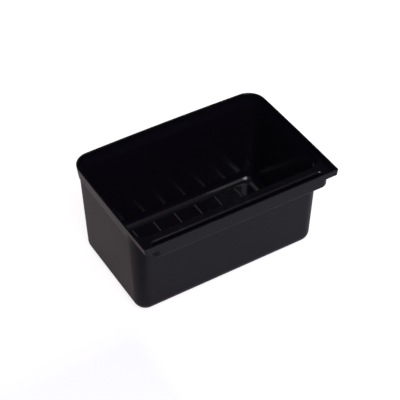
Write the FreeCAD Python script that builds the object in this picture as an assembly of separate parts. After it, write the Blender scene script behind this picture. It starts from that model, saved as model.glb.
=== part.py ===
"""Cart storage bin: a one-piece moulded tub with a rim that hooks over the edge of a utility cart.

Millimetres. +Z is up, +X runs along the long side, and the hook is on the -Y side.
The origin is the centre of the footprint of the whole bin, on the surface it stands on.
Heights are counted up from that surface, and depths back from the front face of the hook.
The moulding is built as one skin of even wall, tier by tier, and then divided where its form changes.
"""
import FreeCAD
import Part
import math
import os

V = FreeCAD.Vector

# Overall size, corner to corner at the top of the rim
rim_length = 335.0
rim_depth = 231.0
bin_height = 177.0

# Walls
wall = 2.8
floor_thickness = 2.5
draft_angle = 1.95
edge_steps = 3
inner_overlap = 0.6

# Rim lip: a drafted band, bowed outwards at the sides and the rear, square at the front
rim_side_bow = 1.0
rim_rear_bow = 2.3
rim_rear_radius = 28.0
rim_front_radius = 1.5
rim_lean = 1.5
rim_edge_rounding = 0.9

# Shelf of the hook: the flat ledge inside the front of the rim, which rests on the edge of the cart
shelf_drop = 8.5
shelf_thickness = 2.5
leg_mouth_rounding = 4.5
shelf_edge_rounding = 4.0

# Shoulder collar: the flare under the rim lip, with a shallow step at its foot
collar_inset = 1.75
collar_flare = 0.9
collar_height = 12.5
collar_side_bow = 0.8
collar_foot_bow = 0.2
collar_rounding = 0.6

# Tub: the drafted body under the collar
tub_step = 0.67
tub_front_step = 1.1
tub_front_radius = 25.0
tub_rear_radius = 27.0
tub_base_rounding = 20.0

# Hook: the hollow front leg, and the gap behind it for the edge of the cart
leg_inset = 14.4
leg_depth = 20.0
leg_drop = 27.0
leg_end_wall = 6.8
leg_front_radius = 14.0
leg_rear_radius = 5.9
leg_base_rounding = 4.5
leg_inner_rounding = 1.2
hook_gap = 10.6

# Ribs on the floor of the tub: low ridges with sloping flanks
rib_count = 7
rib_pitch = 39.3
rib_width = 5.4
rib_crest = 0.4
rib_height = 0.95
rib_end_clearance = 9.0

# Levels, depths and draft that follow from the sizes above
slope = math.tan(math.radians(draft_angle))
half_length = rim_length / 2
front_face = -(rim_depth + rim_rear_bow) / 2
rear_corner = front_face + rim_depth
shelf_top = bin_height - shelf_drop
lip_base = shelf_top - shelf_thickness
collar_base = lip_base - collar_height
leg_base = bin_height - leg_drop
leg_rear = front_face + leg_depth
collar_front = leg_rear + hook_gap
tub_inset = collar_inset + collar_flare + tub_step
tub_front = collar_front + slope * collar_height + tub_front_step


def outline(half_x, front_y, rear_y, front_radius, rear_radius, level, side_bow=0.0, rear_bow=0.0):
    """Closed wire of a rounded rectangle whose sides and rear may bow outwards."""
    corners = [V(-half_x, front_y, level), V(half_x, front_y, level),
               V(half_x, rear_y, level), V(-half_x, rear_y, level)]
    mid_y = (front_y + rear_y) / 2
    crowns = [None, V(half_x + side_bow, mid_y, level),
              V(0, rear_y + rear_bow, level), V(-half_x - side_bow, mid_y, level)]
    bows = [0.0, side_bow, rear_bow, side_bow]
    edges = []
    for index, start in enumerate(corners):
        end = corners[(index + 1) % 4]
        if bows[index] > 0:
            edges.append(Part.Arc(start, crowns[index], end).toShape())
        else:
            edges.append(Part.LineSegment(start, end).toShape())
    blank = Part.Face(Part.Wire(edges)).extrude(V(0, 0, 1))
    for radius, corner_y in ((front_radius, front_y), (rear_radius, rear_y)):
        uprights = [e for e in blank.Edges
                    if abs(e.BoundBox.ZLength - 1) < 1e-6
                    and abs(e.BoundBox.Center.y - corner_y) < 0.01
                    and abs(abs(e.BoundBox.Center.x) - half_x) < 0.01]
        blank = blank.makeFillet(radius, uprights)
    base = min(blank.Faces, key=lambda f: f.CenterOfMass.z)
    return base.OuterWire


def tier(*outlines):
    """Solid through outlines from the lowest up, with straight flanks between them."""
    return Part.makeLoft(list(outlines), True, True)


def edges_at(shape, level, tolerance=0.01):
    """Edges of a shape that lie flat at one level."""
    return [e for e in shape.Edges
            if abs(e.BoundBox.ZMin - level) < tolerance and abs(e.BoundBox.ZMax - level) < tolerance]


def small_rounding(radius):
    """Drop below a flat and run off its flank at each step of a small rounded edge, flank first."""
    turns = [math.pi / 2 * step / edge_steps for step in range(edge_steps + 1)]
    return [(radius * (1 - math.sin(turn)), radius * (1 - math.cos(turn))) for turn in turns]


def tub_outline(level, skin=0.0):
    """Outline of the drafted tub at a level, moved inwards by a skin."""
    inward = slope * (collar_base - level) + skin
    return outline(half_length - tub_inset - inward, tub_front + inward, rear_corner - tub_inset - inward,
                   tub_front_radius - inward, tub_rear_radius - inward, level)


def tub_outer():
    """Outside of the tub with its large base rounding."""
    block = tier(tub_outline(0), tub_outline(collar_base))
    return block.makeFillet(tub_base_rounding, edges_at(block, 0))


def tub_inner():
    """Inside of the tub, down to the floor."""
    block = tier(tub_outline(floor_thickness, wall), tub_outline(lip_base, wall))
    return block.makeFillet(tub_base_rounding - wall, edges_at(block, floor_thickness))


def collar_outline(level, skin=0.0, forward=0.0):
    """Outline of the flared collar at a level, moved inwards by a skin, with its front moved forward."""
    share = (level - collar_base) / collar_height
    bowed = collar_foot_bow + (1 - collar_foot_bow) * min(share, 1)
    inset = collar_inset + collar_flare * (1 - share) + skin
    return outline(half_length - inset, collar_front + slope * (lip_base - level) + skin - forward,
                   rear_corner - inset, tub_front_radius - skin, tub_rear_radius - skin, level,
                   collar_side_bow * bowed, rim_rear_bow * bowed)


def collar_outer():
    """Outside of the shoulder collar, rounded along its foot."""
    edge = [collar_outline(collar_base + drop, run) for drop, run in reversed(small_rounding(collar_rounding))]
    return tier(*edge, collar_outline(lip_base))


def collar_inner():
    """Inside of the collar, from the tub's inside out to a mouth that is rounded along the shelf."""
    inset = tub_inset + wall + inner_overlap
    foot = outline(half_length - inset, tub_front + wall + inner_overlap, rear_corner - inset,
                   tub_front_radius - wall, tub_rear_radius - wall, collar_base,
                   collar_side_bow * collar_foot_bow, rim_rear_bow * collar_foot_bow)
    edge = [collar_outline(shelf_top - drop, wall, run) for drop, run in small_rounding(shelf_edge_rounding)]
    return tier(foot, *edge)


def rim_outline(level, skin=0.0):
    """Outline of the rim lip, square at the front and bowed elsewhere, moved inwards by a skin."""
    lean = rim_lean * (bin_height - level) / (bin_height - lip_base)
    inset = lean + skin
    front_radius = max(rim_front_radius - skin, rim_front_radius / 2)
    return outline(half_length - inset, front_face + skin, rear_corner - inset,
                   front_radius, rim_rear_radius - inset, level, rim_side_bow, rim_rear_bow)


def rim_outer():
    """Outside of the rim lip, rounded along its top."""
    edge = [rim_outline(bin_height - drop, run) for drop, run in small_rounding(rim_edge_rounding)]
    return tier(rim_outline(lip_base), *edge)


def rim_inner():
    """Inside of the rim lip, down to the shelf, rounded along its top."""
    edge = [rim_outline(bin_height - drop, wall - run) for drop, run in small_rounding(rim_edge_rounding)]
    return tier(rim_outline(shelf_top, wall), *edge)


def leg_outline(level, skin=0.0, end_skin=0.0):
    """Outline of the hook's hollow front leg, moved inwards by a skin, and at its ends by one more."""
    return outline(half_length - leg_inset - skin - end_skin, front_face + skin, leg_rear - skin,
                   leg_front_radius - skin, leg_rear_radius - skin, level)


def leg_outer():
    """Outside of the hook's front leg, rounded along its base."""
    block = tier(leg_outline(leg_base), leg_outline(lip_base))
    return block.makeFillet(leg_base_rounding, edges_at(block, leg_base))


def leg_inner():
    """Inside of the hook's front leg, rounded at its foot and at its mouth in the shelf."""
    end_skin = leg_end_wall - wall
    foot = [leg_outline(leg_base + wall + drop, wall + run, end_skin)
            for drop, run in reversed(small_rounding(leg_inner_rounding))]
    edge = [leg_outline(shelf_top - drop, wall - run, end_skin)
            for drop, run in small_rounding(leg_mouth_rounding)]
    return tier(*foot, *edge).common(region(front_face + wall, rim_depth, -bin_height, 2 * bin_height))


def moulding():
    """The whole moulding in one skin."""
    body = tub_outer().multiFuse([collar_outer(), rim_outer(), leg_outer()])
    hollow = tub_inner().multiFuse([collar_inner(), leg_inner(), rim_inner()])
    return body.cut(hollow).removeSplitter()


def region(low_y, high_y, low_z, high_z):
    """Box wider than the bin, between two depths and two levels."""
    return Part.makeBox(2 * rim_length, high_y - low_y, high_z - low_z, V(-rim_length, low_y, low_z))


def floor_ribs():
    """Row of low ridges across the floor of the tub, as separate solids."""
    floor = tub_outline(floor_thickness, wall).BoundBox
    front = floor.YMin + rib_end_clearance
    length = floor.YLength - 2 * rib_end_clearance
    first = -rib_pitch * (rib_count - 1) / 2
    crest = floor_thickness + rib_height
    corners = [V(-rib_width / 2, front, floor_thickness), V(rib_width / 2, front, floor_thickness),
               V(rib_crest / 2, front, crest), V(-rib_crest / 2, front, crest)]
    ridge = Part.Face(Part.makePolygon(corners + corners[:1])).extrude(V(0, length, 0))
    return [ridge.translated(V(first + index * rib_pitch, 0, 0)) for index in range(rib_count)]


def pieces():
    """Named pieces of the moulding, divided where its form changes."""
    body = moulding()
    gap_middle = leg_rear + hook_gap / 2
    shelf_rear = collar_front + tub_front_radius
    below, ahead, behind, above = -rim_depth, -rim_depth, rim_depth, 2 * bin_height
    parts = {
        "tub": body.common(region(gap_middle, behind, below, collar_base)),
        "shoulder_collar": body.common(region(gap_middle, behind, collar_base, lip_base)),
        "hook_leg": body.common(region(ahead, gap_middle, below, lip_base)),
        "hook_shelf": body.common(region(ahead, shelf_rear, lip_base, above)),
        "rim_lip": body.common(region(shelf_rear, behind, lip_base, above)),
    }
    ribs = [rib.cut(body) for rib in floor_ribs()]
    parts["floor_ribs"] = Part.makeCompound(ribs)
    return body, parts


def main():
    """Write one STEP file for each piece."""
    os.makedirs("parts", exist_ok=True)
    body, parts = pieces()
    for name, shape in parts.items():
        shape.exportStep(f"parts/{name}.step")
        print(name, "solids", len(shape.Solids), "valid", shape.isValid(), "cm3", round(shape.Volume / 1000, 2))
    split = sum(shape.Volume for name, shape in parts.items() if name != "floor_ribs")
    print("moulding cm3", round(body.Volume / 1000, 2), "left over mm3", round(body.Volume - split, 3))


main()
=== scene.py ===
"""Looks of a cart storage bin: a tub moulded in one skin, whose rim hooks over the edge of a utility cart.

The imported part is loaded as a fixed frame. Each of its nodes is replaced by a finer skin of the same sizes,
with true roundings along its edges, and dressed in moulded black plastic.
Sizes are millimetres in the dataclasses and metres in Blender. +Z is up, and the hook is on the -Y side.
"""
import logging
import math
from dataclasses import dataclass, replace
from enum import IntEnum
from functools import cache

import bmesh
import bpy
from mathutils import Matrix, Vector


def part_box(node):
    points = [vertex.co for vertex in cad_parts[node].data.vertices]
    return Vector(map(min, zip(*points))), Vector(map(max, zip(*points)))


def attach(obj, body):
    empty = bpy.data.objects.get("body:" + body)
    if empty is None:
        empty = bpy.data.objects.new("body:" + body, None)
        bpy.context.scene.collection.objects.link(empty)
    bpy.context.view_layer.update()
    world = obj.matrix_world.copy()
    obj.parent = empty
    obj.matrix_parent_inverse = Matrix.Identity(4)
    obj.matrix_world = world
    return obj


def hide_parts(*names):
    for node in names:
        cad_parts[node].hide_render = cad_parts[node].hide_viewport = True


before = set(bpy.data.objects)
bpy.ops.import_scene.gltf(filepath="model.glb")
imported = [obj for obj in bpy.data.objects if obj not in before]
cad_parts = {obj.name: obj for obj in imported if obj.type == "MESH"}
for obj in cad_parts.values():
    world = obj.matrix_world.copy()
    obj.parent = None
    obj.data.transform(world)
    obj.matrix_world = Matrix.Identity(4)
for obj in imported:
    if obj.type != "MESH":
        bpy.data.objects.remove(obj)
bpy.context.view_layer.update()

log = logging.getLogger("bin")

MM = 0.001
CORNER_STEPS = 14
SIDE_STEPS = 10
ROUNDING_STEPS = 5
FLAT_MARGIN = 1.0
WELL_HEADROOM = 2.0
MOUTH_HEADROOM = 1.0
SHARP_ANGLE = math.radians(32)
WEAR_FADE = 1.2

Ring = list[Vector]
Colour = tuple[float, float, float]


class Finish(IntEnum):
    """Material slot of a piece that a face takes."""

    OUTSIDE = 0
    INSIDE = 1


@cache
def corner_of(node: str, high: bool) -> Vector:
    """One corner of a CAD node's box.

    Args:
        node: Name of the CAD node.
        high: True for the highest corner, False for the lowest.

    Returns:
        The corner in millimetres.
    """
    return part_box(node)[1 if high else 0] / MM


@dataclass(frozen=True)
class Plan:
    """Rounded rectangle seen from above, whose sides and rear may bow outwards."""

    half_x: float
    front: float
    rear: float
    front_radius: float
    rear_radius: float
    side_bow: float = 0.0
    rear_bow: float = 0.0
    bow_front: float | None = None

    def inset(self, inward: float) -> "Plan":
        """The same outline moved inwards, with its corners tightened by as much."""
        return replace(self, half_x=self.half_x - inward, front=self.front + inward, rear=self.rear - inward,
                       front_radius=self.front_radius - inward, rear_radius=self.rear_radius - inward)

    def toward(self, other: "Plan", share: float) -> "Plan":
        """The outline a share of the way to another one, which gives the reach of the bows."""
        names = ("half_x", "front", "rear", "front_radius", "rear_radius", "side_bow", "rear_bow")
        sizes = {name: (1 - share) * getattr(self, name) + share * getattr(other, name) for name in names}
        return replace(other, **sizes)

    def ring(self, level: float) -> Ring:
        """Points once around the outline, anticlockwise from the left end of the front left corner.

        Args:
            level: Height of the ring.

        Returns:
            The points, as many for every outline.
        """
        mid_y = (self.front + self.rear) / 2
        half_y = (self.rear - self.front) / 2
        corners = ((-1, -1, self.front_radius, 180), (1, -1, self.front_radius, 270),
                   (1, 1, self.rear_radius, 0), (-1, 1, self.rear_radius, 90))
        arcs = []
        for side_x, side_y, radius, start in corners:
            centre = Vector((side_x * (self.half_x - radius), mid_y + side_y * (half_y - radius), level))
            turns = [math.radians(start + 90 * step / CORNER_STEPS) for step in range(CORNER_STEPS + 1)]
            arcs.append([centre + radius * Vector((math.cos(turn), math.sin(turn), 0)) for turn in turns])
        points = []
        for index, arc in enumerate(arcs):
            following = arcs[(index + 1) % len(arcs)][0]
            points += arc
            points += [arc[-1].lerp(following, step / SIDE_STEPS) for step in range(1, SIDE_STEPS)]
        bow_front = self.front if self.bow_front is None else self.bow_front
        for point in points:
            across = point.x / self.half_x
            along = (2 * point.y - bow_front - self.rear) / (self.rear - bow_front)
            point.x += self.side_bow * (1 - along ** 2) * across
            point.y += self.rear_bow * (1 - across ** 2) * max(along, 0.0)
        return points


@dataclass(frozen=True)
class Tier:
    """One drafted tier of the moulding: an outline at a level that narrows downwards."""

    plan: Plan
    level: float
    slope: float

    def inward(self, height: float, skin: float = 0.0) -> float:
        """How far the wall stands inside the outline at a height, with a skin added."""
        return self.slope * (self.level - height) + skin

    def ring(self, height: float, skin: float = 0.0) -> Ring:
        """Ring of the wall at a height, moved inwards by a skin."""
        return self.plan.inset(self.inward(height, skin)).ring(height)

    def base(self, height: float, radius: float, steps: int, skin: float = 0.0) -> list[Ring]:
        """Rings of a rounded base, from the flat up to where the rounding meets the drafted wall.

        Args:
            height: Level of the flat.
            radius: Radius of the rounding between flat and wall.
            steps: Number of steps in the rounding.
            skin: Wall thickness that moves the whole base inwards.

        Returns:
            The rings, with one on the flat ahead of the rounding.
        """
        draft = math.atan(self.slope)
        centre = self.inward(height, skin) - self.slope * radius + radius * math.hypot(1, self.slope)
        rings = [self.plan.inset(centre + FLAT_MARGIN).ring(height)]
        for step in range(steps + 1):
            turn = math.pi / 2 + (draft - math.pi / 2) * step / steps
            rings.append(self.plan.inset(centre - radius * math.cos(turn))
                         .ring(height + radius * (1 - math.sin(turn))))
        return rings


def rounding(radius: float) -> list[tuple[float, float]]:
    """Drop below a flat and run off its wall at each step of a small rounded edge, wall first."""
    turns = [math.pi / 2 * step / ROUNDING_STEPS for step in range(ROUNDING_STEPS + 1)]
    return [(radius * (1 - math.sin(turn)), radius * (1 - math.cos(turn))) for turn in turns]


def run_at(radius: float, drop: float) -> float:
    """Run of a rounded edge off its wall, at a drop below the flat."""
    depth = max(radius - drop, 0.0)
    return radius - math.sqrt(max(radius ** 2 - depth ** 2, 0.0))


def skin_mesh(name: str, rings: list[Ring], looped: bool = False, inside_from: int = 0) -> bpy.types.Mesh:
    """Closed mesh through rings of equal count.

    Args:
        name: Name of the mesh.
        rings: Rings in millimetres, each joined to the next.
        looped: True if the last ring joins the first. Otherwise both ends are capped.
        inside_from: Ring from which faces take the inside finish, or 0 for none.

    Returns:
        The mesh, in metres.
    """
    shape = bmesh.new()
    loops = [[shape.verts.new(point * MM) for point in ring] for ring in rings]
    pairs = list(zip(loops, loops[1:]))
    if looped:
        pairs.append((loops[-1], loops[0]))
    for index, (lower, upper) in enumerate(pairs):
        for here in range(len(lower)):
            there = (here + 1) % len(lower)
            face = shape.faces.new((lower[here], lower[there], upper[there], upper[here]))
            face.material_index = Finish.INSIDE if inside_from and index >= inside_from else Finish.OUTSIDE
    if not looped:
        shape.faces.new(loops[0])
        shape.faces.new(loops[-1]).material_index = Finish.INSIDE if inside_from else Finish.OUTSIDE
    bmesh.ops.recalc_face_normals(shape, faces=shape.faces)
    mesh = bpy.data.meshes.new(name)
    shape.to_mesh(mesh)
    shape.free()
    return mesh


def placed(mesh: bpy.types.Mesh) -> bpy.types.Object:
    """New object for a mesh, linked to the scene."""
    piece = bpy.data.objects.new(mesh.name, mesh)
    bpy.context.scene.collection.objects.link(piece)
    return piece


def carved(name: str, body: bpy.types.Mesh, steps: list[tuple[str, bpy.types.Mesh]]) -> bpy.types.Mesh:
    """Body with closed cutters taken away from it, or kept only where it lies within them.

    Args:
        name: Name of the new mesh.
        body: Closed mesh to start from.
        steps: Pairs of a boolean operation and its closed cutter, in order.

    Returns:
        The carved mesh.
    """
    blank = placed(body)
    tools = []
    for operation, cutter in steps:
        tool = placed(cutter)
        tools.append(tool)
        cut = blank.modifiers.new(operation, "BOOLEAN")
        cut.operation = operation
        cut.solver = "MANIFOLD"
        cut.object = tool
    graph = bpy.context.evaluated_depsgraph_get()
    mesh = bpy.data.meshes.new_from_object(blank.evaluated_get(graph))
    mesh.name = name
    for leftover in [blank, *tools]:
        bpy.data.objects.remove(leftover)
    return mesh


class Signal:
    """A shader socket that takes part in arithmetic, adding a Math node for each operation."""

    def __init__(self, bench: "Bench", socket: bpy.types.NodeSocket) -> None:
        """Wrap a socket of the bench's tree."""
        self.bench = bench
        self.socket = socket

    def _math(self, operation: str, first: "Signal | float", second: "Signal | float") -> "Signal":
        """Result of a Math node on two values."""
        return self.bench.node("ShaderNodeMath", {"operation": operation}, {0: first, 1: second}).out()

    def __add__(self, other: "Signal | float") -> "Signal":
        """Sum with a value."""
        return self._math("ADD", self, other)

    def __radd__(self, other: float) -> "Signal":
        """Sum with a value on the left."""
        return self._math("ADD", other, self)

    def __sub__(self, other: "Signal | float") -> "Signal":
        """Difference from a value."""
        return self._math("SUBTRACT", self, other)

    def __rsub__(self, other: float) -> "Signal":
        """Difference of a value on the left."""
        return self._math("SUBTRACT", other, self)

    def __mul__(self, other: "Signal | float") -> "Signal":
        """Product with a value."""
        return self._math("MULTIPLY", self, other)

    def __rmul__(self, other: float) -> "Signal":
        """Product with a value on the left."""
        return self._math("MULTIPLY", other, self)


class Step:
    """A node that was added to a bench."""

    def __init__(self, bench: "Bench", node: bpy.types.Node) -> None:
        """Keep the node and the bench it stands on."""
        self.bench = bench
        self.node = node

    def out(self, name: "str | int" = 0) -> Signal:
        """One of the node's outputs as a signal."""
        return Signal(self.bench, self.node.outputs[name])


class Bench:
    """A node tree with one method that adds nodes to it."""

    def __init__(self, tree: bpy.types.NodeTree) -> None:
        """Clear the tree and keep it."""
        tree.nodes.clear()
        self.tree = tree

    def node(self, kind: str, settings: dict | None = None, inputs: dict | None = None) -> Step:
        """Add a node, with its settings made before its sockets.

        Args:
            kind: Blender's name for the node's type.
            settings: Attribute values of the node. "stops" gives a ramp's positions and colours.
            inputs: Socket name or number to a value or a signal.

        Returns:
            The new node.
        """
        node = self.tree.nodes.new(kind)
        for name, value in (settings or {}).items():
            if name == "stops":
                self._ramp(node, value)
            else:
                setattr(node, name, value)
        for name, value in (inputs or {}).items():
            if isinstance(value, Signal):
                self.tree.links.new(value.socket, node.inputs[name])
            else:
                node.inputs[name].default_value = value
        return Step(self, node)

    @staticmethod
    def _ramp(node: bpy.types.Node, stops: list[tuple[float, float]]) -> None:
        """Set a ramp's stops, each a position and a grey level."""
        elements = node.color_ramp.elements
        for index, (position, grey) in enumerate(stops):
            element = elements[index] if index < len(elements) else elements.new(position)
            element.position = position
            element.color = (grey, grey, grey, 1)

    def noise(self, place: Signal, scale: float, detail: float = 2.0, distortion: float = 0.0) -> Signal:
        """Noise from 0 to 1 with a scale in patches per metre."""
        return self.node("ShaderNodeTexNoise", {"noise_dimensions": "3D"},
                         {"Vector": place, "Scale": scale, "Detail": detail, "Distortion": distortion}).out()

    def stretched(self, place: Signal, scale: tuple[float, float, float]) -> Signal:
        """Coordinates stretched by a factor on each axis."""
        return self.node("ShaderNodeVectorMath", {"operation": "MULTIPLY"}, {0: place, 1: scale}).out()

    def ramp(self, value: Signal, stops: list[tuple[float, float]]) -> Signal:
        """Grey ramp over a value."""
        return self.node("ShaderNodeValToRGB", {"stops": stops}, {"Fac": value}).out("Color")

    def fade(self, value: Signal, low: float, high: float) -> Signal:
        """Smooth change from 0 at a low value to 1 at a high one."""
        return self.node("ShaderNodeMapRange", {"clamp": True, "interpolation_type": "SMOOTHSTEP"},
                         {"Value": value, "From Min": low, "From Max": high}).out()

    def blend(self, share: "Signal | float", first: "Signal | Colour", second: "Signal | Colour") -> Signal:
        """Mix of two colours."""
        colours = [c if isinstance(c, Signal) else (*c, 1) for c in (first, second)]
        mix = self.node("ShaderNodeMix", {"data_type": "RGBA"}, {0: share, 6: colours[0], 7: colours[1]})
        return mix.out(2)


@dataclass(frozen=True)
class MouldedPlastic:
    """Injection-moulded black plastic: fine grain, slow waves, drag marks and handling haze."""

    name: str
    pigment: Colour
    haze: Colour
    roughness: float
    haze_roughness: float
    grain_height: float
    wave_height: float
    worn_above: float = 175.8
    refraction: float = 1.5

    def material(self) -> bpy.types.Material:
        """The finish as a material."""
        made = bpy.data.materials.new(self.name)
        made.use_nodes = True
        bench = Bench(made.node_tree)
        place = bench.node("ShaderNodeTexCoord").out("Object")
        flow = bench.noise(place, 16, 3)
        patches = bench.ramp(bench.noise(place, 55, 4, 1.2), [(0.52, 0.0), (0.74, 1.0)])
        upright = bench.stretched(place, (1, 1, 0.03))
        drags = bench.ramp(bench.noise(upright, 900), [(0.56, 0.0), (0.8, 1.0)])
        specks = bench.ramp(bench.noise(place, 1500, 1), [(0.68, 0.0), (0.78, 1.0)])
        height = bench.node("ShaderNodeSeparateXYZ", inputs={0: place}).out("Z")
        wear = bench.node("ShaderNodeMapRange", {"clamp": True},
                          {"Value": height, "From Min": self.worn_above * MM,
                           "From Max": (self.worn_above + WEAR_FADE) * MM}).out()
        scuffs = wear * bench.ramp(bench.noise(place, 420, 3, 0.6), [(0.45, 0.0), (0.7, 1.0)])
        haze = patches * 0.45 + drags * 0.2 + specks * 0.35 + scuffs * 0.8
        grain = bench.noise(place, 1400)
        wave = bench.noise(place, 24)
        relief = grain * (self.grain_height * MM) + wave * (self.wave_height * MM)
        bump = bench.node("ShaderNodeBump", inputs={"Strength": 1.0, "Distance": 1.0, "Height": relief})
        deep = tuple(level * 0.8 for level in self.pigment)
        ground = bench.blend(flow, deep, self.pigment)
        surface = bench.node("ShaderNodeBsdfPrincipled", inputs={
            "Base Color": bench.blend(haze, ground, self.haze),
            "Roughness": self.roughness + (flow - 0.5) * 0.05 + haze * (self.haze_roughness - self.roughness),
            "IOR": self.refraction,
            "Normal": bump.out(),
        })
        bench.node("ShaderNodeOutputMaterial", inputs={"Surface": surface.out()})
        return made


OUTSIDE = MouldedPlastic(name="black plastic outside", pigment=(0.0032, 0.0025, 0.0054),
                         haze=(0.008, 0.007, 0.010), roughness=0.22, haze_roughness=0.30,
                         grain_height=0.002, wave_height=0.04)
# The inside is the same plastic with a lighter pigment than the outside: painted fill light for the shaded
# inside of the tub.
INSIDE = MouldedPlastic(name="black plastic inside painted lighter", pigment=(0.0048, 0.0037, 0.0074),
                        haze=(0.0056, 0.0046, 0.0084), roughness=0.17, haze_roughness=0.22,
                        grain_height=0.001, wave_height=0.02)


@dataclass(frozen=True)
class Dresser:
    """Turns finished meshes into pieces of the object."""

    outside: bpy.types.Material
    inside: bpy.types.Material

    def piece(self, mesh: bpy.types.Mesh, node: str) -> bpy.types.Object:
        """Piece that stands for a CAD node.

        Args:
            mesh: Closed mesh in metres, in the frame's place.
            node: Name of the CAD node that it replaces.

        Returns:
            The piece, dressed and riding on the root body.
        """
        # A carved mesh comes with an empty slot. Clearing it gives the outside finish to all its faces.
        if mesh.materials:
            mesh.materials.clear()
        mesh.materials.append(self.outside)
        mesh.materials.append(self.inside)
        mesh.shade_smooth()
        mesh.set_sharp_from_angle(angle=SHARP_ANGLE)
        piece = placed(mesh)
        piece.name = f"{node}_skin"
        shading = piece.modifiers.new("flat faces stay flat", "WEIGHTED_NORMAL")
        shading.keep_sharp = True
        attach(piece, "root")
        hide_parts(node)
        log.info("%s: %d faces in place of %s", piece.name, len(mesh.polygons), node)
        return piece


@dataclass(frozen=True)
class Moulding:
    """Sizes that all tiers of the moulding share, read off the frame where a node gives them."""

    top: float
    lip_base: float
    collar_base: float
    leg_base: float
    wall: float = 2.8
    floor: float = 2.5
    draft_angle: float = 1.95
    shelf_thickness: float = 2.5
    collar_step: float = 0.67
    collar_rear_radius: float = 25.0
    tub_front_radius: float = 25.0
    tub_rear_radius: float = 27.0
    side_bow: float = 1.0
    rear_bow: float = 2.3

    @classmethod
    def from_frame(cls) -> "Moulding":
        """Sizes with the levels of the CAD nodes."""
        return cls(top=corner_of("rim_lip", True).z, lip_base=corner_of("rim_lip", False).z,
                   collar_base=corner_of("shoulder_collar", False).z, leg_base=corner_of("hook_leg", False).z)

    @property
    def slope(self) -> float:
        """Run of a drafted wall for each millimetre of height."""
        return math.tan(math.radians(self.draft_angle))

    @property
    def shelf_top(self) -> float:
        """Level of the shelf that rests on the edge of the cart."""
        return self.lip_base + self.shelf_thickness

    def tub(self) -> Tier:
        """The tub's tier, from its box in the frame."""
        low, high = corner_of("tub", False), corner_of("tub", True)
        plan = Plan(high.x, low.y, high.y, self.tub_front_radius, self.tub_rear_radius)
        return Tier(plan, self.collar_base, self.slope)


@dataclass(frozen=True)
class Tub:
    """The drafted tub with its large base rounding and its flat floor."""

    moulding: Moulding
    base_rounding: float = 20.0
    base_steps: int = 12

    def mesh(self) -> bpy.types.Mesh:
        """Closed mesh of the tub, outside first."""
        sizes = self.moulding
        tier = sizes.tub()
        outside = tier.base(0, self.base_rounding, self.base_steps)
        outside.append(tier.ring(sizes.collar_base))
        inside = tier.base(sizes.floor, self.base_rounding - sizes.wall, self.base_steps, sizes.wall)
        inside.append(tier.ring(sizes.collar_base, sizes.wall))
        return skin_mesh("tub", outside + inside[::-1], inside_from=len(outside))


@dataclass(frozen=True)
class ShoulderCollar:
    """The flared shoulder between the tub and the rim, with a shallow step at its foot."""

    moulding: Moulding
    deck: "RimDeck"
    edge_rounding: float = 0.6
    joint: float = 0.02

    def ring(self, height: float, skin: float = 0.0) -> Ring:
        """Ring of the shoulder's outside at a height, flared from its foot out to the lip's lower edge."""
        sizes = self.moulding
        lip = self.deck.plan(sizes.lip_base).inset(self.joint)
        foot = replace(sizes.tub().plan.inset(-sizes.collar_step), rear_radius=sizes.collar_rear_radius)
        rise = height - sizes.collar_base
        flared = foot.toward(lip, rise / (sizes.lip_base - sizes.collar_base))
        plan = replace(flared, front=foot.front - sizes.slope * rise, front_radius=foot.front_radius)
        return plan.inset(skin).ring(height)

    def mesh(self) -> bpy.types.Mesh:
        """Closed mesh of the collar, from its underside out, up and back down inside."""
        sizes = self.moulding
        tub = sizes.tub()
        outside = [tub.ring(sizes.collar_base, sizes.wall), tub.ring(sizes.collar_base)]
        edge = reversed(rounding(self.edge_rounding))
        outside += [self.ring(sizes.collar_base + drop, run) for drop, run in edge]
        outside.append(self.ring(sizes.lip_base))
        drops = [drop for drop, _ in rounding(self.deck.shelf_edge_rounding) if drop > sizes.shelf_thickness]
        inside = [self.deck.tub_mouth_ring(drop) for drop in [sizes.shelf_thickness, *drops[::-1]]]
        return skin_mesh("shoulder_collar", outside + inside, looped=True, inside_from=len(outside))


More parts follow.
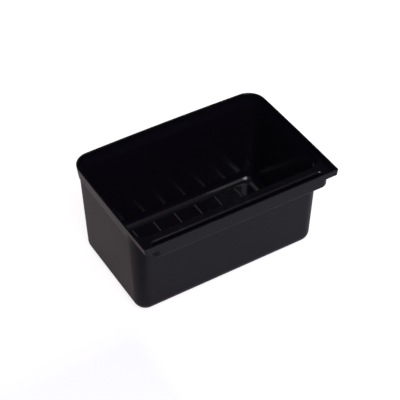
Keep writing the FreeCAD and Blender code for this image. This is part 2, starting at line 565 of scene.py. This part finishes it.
@dataclass(frozen=True)
class HookLeg:
    """The hollow front leg of the hook, open at its top into the shelf."""

    moulding: Moulding
    front_radius: float = 14.0
    rear_radius: float = 5.9
    base_rounding: float = 4.5
    foot_rounding: float = 1.2
    mouth_rounding: float = 4.5
    flush_height: float = 1.5
    end_wall: float = 6.8

    def tier(self) -> Tier:
        """The leg's upright tier, from its box in the frame."""
        low, high = corner_of("hook_leg", False), corner_of("hook_leg", True)
        plan = Plan(high.x, low.y, high.y, self.front_radius, self.rear_radius)
        return Tier(plan, self.moulding.lip_base, 0)

    def throat(self) -> Tier:
        """The tier that the cavity is cut from, with thicker walls at its two ends."""
        tier = self.tier()
        plan = replace(tier.plan, half_x=tier.plan.half_x - self.end_wall + self.moulding.wall)
        return replace(tier, plan=plan)

    def mouth_drops(self) -> list[float]:
        """Drops below the shelf at each step of the mouth's rounding, deepest first."""
        return [drop for drop, _ in rounding(self.mouth_rounding)]

    def mouth_ring(self, drop: float) -> Ring:
        """Ring of the rounded mouth at a drop below the shelf, flush with the inside of the rim in front."""
        sizes = self.moulding
        ring = self.throat().ring(sizes.shelf_top - drop, sizes.wall - run_at(self.mouth_rounding, drop))
        for point in ring:
            point.y = max(point.y, self.tier().plan.front + sizes.wall)
        return ring

    def mesh(self) -> bpy.types.Mesh:
        """Closed mesh of the leg, outside first."""
        sizes = self.moulding
        tier = self.tier()
        outside = tier.base(sizes.leg_base, self.base_rounding, ROUNDING_STEPS)
        outside.append(tier.ring(sizes.lip_base))
        foot = sizes.leg_base + sizes.wall
        inside = self.throat().base(foot, self.foot_rounding, ROUNDING_STEPS, sizes.wall)
        inside += [self.mouth_ring(drop) for drop in self.mouth_drops() if drop > sizes.shelf_thickness]
        inside.append(self.mouth_ring(sizes.shelf_thickness))
        return skin_mesh("hook_leg", outside + inside[::-1], inside_from=len(outside))

    def mouth(self) -> bpy.types.Mesh:
        """Cutter for the leg's rounded mouth in the shelf."""
        drops = [*self.mouth_drops(), -self.flush_height]
        return skin_mesh("leg_mouth", [self.mouth_ring(drop) for drop in drops])


@dataclass(frozen=True)
class RimDeck:
    """The rim lip and the shelf of the hook, one deck that is divided behind the shelf."""

    moulding: Moulding
    leg: HookLeg
    rear_radius: float = 28.0
    front_radius: float = 1.5
    lean: float = 1.5
    edge_rounding: float = 0.9
    shelf_edge_rounding: float = 4.0
    shelf_edge_reach: float = 1.0
    mouth_radius: float = 24.0
    joint: float = 0.02

    def plan(self, level: float) -> Plan:
        """Outline of the lip at a level: upright and square at the front, leaning and bowed elsewhere."""
        sizes = self.moulding
        high = corner_of("rim_lip", True)
        front = corner_of("hook_shelf", False).y
        leaned = self.lean * max(sizes.top - level, 0.0) / (sizes.top - sizes.lip_base)
        return Plan(high.x - sizes.side_bow - leaned, front, high.y - sizes.rear_bow - leaned,
                    self.front_radius, self.rear_radius - 2 * leaned, sizes.side_bow, sizes.rear_bow, front)

    def outline(self, level: float, skin: float = 0.0) -> Ring:
        """Ring of the lip at a level, moved inwards by a skin."""
        tightened = max(self.front_radius - skin, self.front_radius / 2)
        return replace(self.plan(level).inset(skin), front_radius=tightened).ring(level)

    def blank(self) -> bpy.types.Mesh:
        """Solid inside the lip's outer faces, rounded along its top."""
        sizes = self.moulding
        rings = [self.outline(sizes.lip_base)]
        rings += [self.outline(sizes.top - drop, run) for drop, run in rounding(self.edge_rounding)]
        return skin_mesh("rim_blank", rings)

    def well(self) -> bpy.types.Mesh:
        """Cutter for the space inside the lip, down to the shelf, flared at the top for a rounded edge."""
        sizes = self.moulding
        edge = rounding(self.edge_rounding)
        rings = [self.outline(sizes.shelf_top, sizes.wall)]
        rings += [self.outline(sizes.top - drop, sizes.wall - run) for drop, run in edge]
        rings.append(self.outline(sizes.top + WELL_HEADROOM, sizes.wall - self.edge_rounding))
        return skin_mesh("rim_well", rings)

    def tub_mouth(self) -> bpy.types.Mesh:
        """Cutter for the tub's mouth, rounded along the shelf and flush with the lip elsewhere."""
        drops = [drop for drop, _ in rounding(self.shelf_edge_rounding)] + [-MOUTH_HEADROOM]
        return skin_mesh("tub_mouth", [self.tub_mouth_ring(drop) for drop in drops])

    def tub_mouth_ring(self, drop: float) -> Ring:
        """Ring of the tub's mouth at a drop below the shelf, from the lip's inner face in to the tub's."""
        sizes = self.moulding
        tub = sizes.tub()
        lip = self.plan(sizes.shelf_top).inset(sizes.wall + self.joint)
        bottom = tub.plan.inset(tub.inward(sizes.collar_base, sizes.wall))
        share = max(drop, 0.0) / (sizes.shelf_top - sizes.collar_base)
        rise = (1 - share) * (sizes.shelf_top - sizes.collar_base)
        front = bottom.front - sizes.slope * rise - self.shelf_edge_reach * (1 - share)
        radius = bottom.front_radius + (self.mouth_radius - bottom.front_radius) * (1 - share)
        plan = replace(lip.toward(bottom, share), front=front - run_at(self.shelf_edge_rounding, drop),
                       front_radius=radius, bow_front=lip.front)
        return plan.ring(sizes.shelf_top - drop)

    def front_block(self) -> bpy.types.Mesh:
        """Block that holds all of the deck in front of the rim lip's node."""
        divide = corner_of("rim_lip", False).y
        reach = 2 * corner_of("rim_lip", True).x
        square = ((-reach, -reach), (reach, -reach), (reach, divide), (-reach, divide))
        levels = (self.moulding.lip_base - reach, self.moulding.top + reach)
        return skin_mesh("front_block", [[Vector((x, y, level)) for x, y in square] for level in levels])

    def mesh(self, name: str, operation: str) -> bpy.types.Mesh:
        """One of the deck's two parts.

        Args:
            name: Name of the mesh.
            operation: INTERSECT for the part in front, DIFFERENCE for the part behind.

        Returns:
            Its closed mesh.
        """
        steps = [("DIFFERENCE", self.well()), ("DIFFERENCE", self.tub_mouth()),
                 ("DIFFERENCE", self.leg.mouth()), (operation, self.front_block())]
        return carved(name, self.blank(), steps)


@dataclass(frozen=True)
class FloorRibs:
    """Low ridges across the floor, which keep what lies in the bin off its floor."""

    count: int = 7
    width: float = 5.4
    crest_width: float = 0.4
    height: float = 0.95
    softness: float = 0.15

    def profile(self) -> list[tuple[float, float]]:
        """Inset and height at each step from the root of a rib to its crest."""
        flank = (self.width - self.crest_width) / 2
        steps = [index / (2 * ROUNDING_STEPS) for index in range(2 * ROUNDING_STEPS + 1)]
        waves = [math.sin(math.tau * step) / math.tau for step in steps]
        rises = [self.height * (step - self.softness * wave) for step, wave in zip(steps, waves)]
        return [(flank * step, rise) for step, rise in zip(steps, rises)]

    def mesh(self) -> bpy.types.Mesh:
        """One mesh with a closed rib for each solid of the node."""
        low, high = corner_of("floor_ribs", False), corner_of("floor_ribs", True)
        half = self.width / 2
        pitch = (high.x - low.x - self.width) / (self.count - 1)
        plan = Plan(half, low.y, high.y, half, half)
        rings = [plan.inset(inset).ring(low.z + rise) for inset, rise in self.profile()]
        shape = bmesh.new()
        for index in range(self.count):
            shift = Vector((low.x + half + index * pitch, 0, 0))
            rib = skin_mesh("rib", [[point + shift for point in ring] for ring in rings])
            shape.from_mesh(rib)
            bpy.data.meshes.remove(rib)
        mesh = bpy.data.meshes.new("floor_ribs")
        shape.to_mesh(mesh)
        shape.free()
        return mesh


@dataclass(frozen=True)
class Softbox:
    """Soft square lamp that faces the bin, given by where it stands and how bright it looks."""

    name: str
    azimuth: float
    elevation: float
    distance: float
    size: float
    radiance: float
    colour: Colour

    def hang(self, aim: Vector) -> None:
        """Add the lamp to the scene.

        Args:
            aim: Point that it faces, in metres. Azimuth 0 is in front of the hook, and 90 is on the right.
        """
        data = bpy.data.lights.new(self.name, "AREA")
        data.shape = "SQUARE"
        data.size = self.size
        data.energy = self.radiance * math.pi * self.size ** 2
        data.color = self.colour
        turn, rise = math.radians(self.azimuth), math.radians(self.elevation)
        away = Vector((math.sin(turn) * math.cos(rise), -math.cos(turn) * math.cos(rise), math.sin(rise)))
        lamp = bpy.data.objects.new(self.name, data)
        bpy.context.scene.collection.objects.link(lamp)
        lamp.location = aim + away * self.distance
        lamp.rotation_euler = away.to_track_quat("Z", "Y").to_euler()


@dataclass(frozen=True)
class Studio:
    """Pale floor with painted light and shade in what it reflects, one large softbox beside the camera, dim
    surroundings and the camera.
    """

    # Floor tints, painted light and painted shade, with their places in metres on the floor.
    floor_painted_warm: Colour = (0.318, 0.266, 0.277)
    floor_painted_cool: Colour = (0.37, 0.37, 0.43)
    floor_painted_light: Colour = (0.60, 0.56, 0.58)
    floor_painted_shade: Colour = (0.20, 0.195, 0.245)
    painted_cool_slant: tuple[float, float] = (0.75, 0.66)
    painted_cool_reach: tuple[float, float] = (-0.16, 0.10)
    painted_light_beside_x: tuple[float, float] = (-0.23, -0.17)
    painted_light_beside_y: tuple[float, float] = (-0.08, 0.02)
    painted_light_beside_share: float = 0.32
    painted_light_rear_y: tuple[float, float] = (0.05, 0.35)
    painted_light_rear_share: float = 0.12
    painted_shade_ahead_x: tuple[float, float] = (-0.20, -0.14)
    painted_shade_ahead_y: tuple[float, float] = (-0.13, -0.05)
    floor_glow: float = 0.8
    floor_size: float = 24.0
    fill: float = 0.42
    mirrored_front: float = 0.16
    mirrored_back: float = 0.02
    lens: float = 110.6
    sensor: float = 36.0
    stand: tuple[float, float, float] = (-0.7327, -1.19255, 1.3957)
    aim: tuple[float, float, float] = (0.3823, 0.6270, -0.6788)
    level: tuple[float, float, float] = (0.8539, -0.5204, 0.0002)

    def camera(self) -> None:
        """Camera at the photograph's place, with its long lens."""
        data = bpy.data.cameras.new("camera")
        data.lens = self.lens
        data.sensor_width = self.sensor
        data.clip_start = 0.05
        data.clip_end = 60
        camera = bpy.data.objects.new("camera", data)
        bpy.context.scene.collection.objects.link(camera)
        forward, right = Vector(self.aim).normalized(), Vector(self.level).normalized()
        up = right.cross(forward).normalized()
        right = forward.cross(up)
        turn = Matrix((right, up, -forward)).transposed().to_4x4()
        camera.matrix_world = Matrix.Translation(self.stand) @ turn
        bpy.context.scene.camera = camera

    def floor(self) -> None:
        """Wide sheet under the object, which the camera sees white and with the object's shadow.

        Its colour changes with the place on the floor, with a painted warm-to-cool tint, painted light beside
        and behind the object and painted shade ahead of its left front, so that the glossy walls mirror them.
        """
        half = self.floor_size / 2
        corners = [(-half, -half, 0), (half, -half, 0), (half, half, 0), (-half, half, 0)]
        mesh = bpy.data.meshes.new("floor")
        mesh.from_pydata(corners, [], [(0, 1, 2, 3)])
        paper = bpy.data.materials.new("paper with painted light and shade")
        paper.use_nodes = True
        bench = Bench(paper.node_tree)
        place = bench.node("ShaderNodeTexCoord").out("Object")
        light = bench.node("ShaderNodeLightPath")
        axes = bench.node("ShaderNodeSeparateXYZ", inputs={0: place})
        x, y = axes.out("X"), axes.out("Y")
        # Painted coloured light: the floor's tint turns from warm to cool across it.
        along = x * self.painted_cool_slant[0] - y * self.painted_cool_slant[1]
        ground = bench.blend(bench.fade(along, *self.painted_cool_reach), self.floor_painted_warm, self.floor_painted_cool)
        # Painted light on the floor beside the object and behind it.
        beside = bench.fade(x, *self.painted_light_beside_x) * bench.fade(y, *self.painted_light_beside_y) * self.painted_light_beside_share
        behind = bench.fade(y, *self.painted_light_rear_y) * self.painted_light_rear_share
        with_painted_light = bench.blend(beside + behind, ground, self.floor_painted_light)
        # Painted shade on the floor ahead of the object's left front.
        ahead = (1 - bench.fade(x, *self.painted_shade_ahead_x)) * (1 - bench.fade(y, *self.painted_shade_ahead_y))
        matt = bench.node("ShaderNodeBsdfPrincipled", inputs={
            "Base Color": bench.blend(ahead, with_painted_light, self.floor_painted_shade),
            "Roughness": 0.9, "Specular IOR Level": 0.1})
        seen = self.floor_glow * light.out("Is Camera Ray")
        glow = bench.node("ShaderNodeEmission", inputs={"Color": (1, 1, 1, 1), "Strength": seen})
        both = bench.node("ShaderNodeAddShader", inputs={0: matt.out(), 1: glow.out()})
        bench.node("ShaderNodeOutputMaterial", inputs={"Surface": both.out()})
        mesh.materials.append(paper)
        placed(mesh)

    def world(self) -> None:
        """White surroundings for the eye, dim ones for mirrored light, and an even fill."""
        world = bpy.data.worlds.new("studio")
        bpy.context.scene.world = world
        world.use_nodes = True
        bench = Bench(world.node_tree)
        light = bench.node("ShaderNodeLightPath")
        direction = bench.node("ShaderNodeTexCoord").out("Generated")
        axes = bench.node("ShaderNodeSeparateXYZ", inputs={0: direction})
        behind = bench.fade(axes.out("Y"), -0.6, 0.6)
        dim = self.mirrored_front - behind * (self.mirrored_front - self.mirrored_back)
        mirrored = light.out("Is Glossy Ray") + light.out("Is Transmission Ray")
        seen = light.out("Is Camera Ray")
        backdrop = bench.node("ShaderNodeBackground", inputs={"Color": (1, 1, 1, 1), "Strength": 1.0})
        even = bench.node("ShaderNodeBackground",
                          inputs={"Color": (0.97, 0.98, 1, 1), "Strength": self.fill})
        walls = bench.node("ShaderNodeBackground", inputs={"Color": (1, 0.98, 1, 1), "Strength": dim})
        inside = bench.node("ShaderNodeMixShader", inputs={0: mirrored, 1: even.out(), 2: walls.out()})
        both = bench.node("ShaderNodeMixShader", inputs={0: seen, 1: inside.out(), 2: backdrop.out()})
        bench.node("ShaderNodeOutputWorld", inputs={"Surface": both.out()})

    @staticmethod
    def lamps() -> None:
        """The softbox beside the camera."""
        aim = Vector((0, 0, 0.08))
        key = Softbox(name="key", azimuth=-12, elevation=51, distance=2.6, size=1.5, radiance=6.0,
                      colour=(1, 0.99, 0.98))
        key.hang(aim)


def main() -> None:
    """Build the pieces in order, then the studio."""
    logging.basicConfig(level=logging.INFO, format="%(name)s: %(message)s")
    dresser = Dresser(OUTSIDE.material(), INSIDE.material())
    moulding = Moulding.from_frame()
    leg = HookLeg(moulding)
    deck = RimDeck(moulding, leg)
    dresser.piece(Tub(moulding).mesh(), "tub")
    dresser.piece(ShoulderCollar(moulding, deck).mesh(), "shoulder_collar")
    dresser.piece(leg.mesh(), "hook_leg")
    dresser.piece(deck.mesh("hook_shelf", "INTERSECT"), "hook_shelf")
    dresser.piece(deck.mesh("rim_lip", "DIFFERENCE"), "rim_lip")
    dresser.piece(FloorRibs().mesh(), "floor_ribs")
    studio = Studio()
    studio.camera()
    studio.floor()
    studio.world()
    studio.lamps()
    bpy.context.scene.view_settings.view_transform = "Standard"


if __name__ == "__main__":
    main()
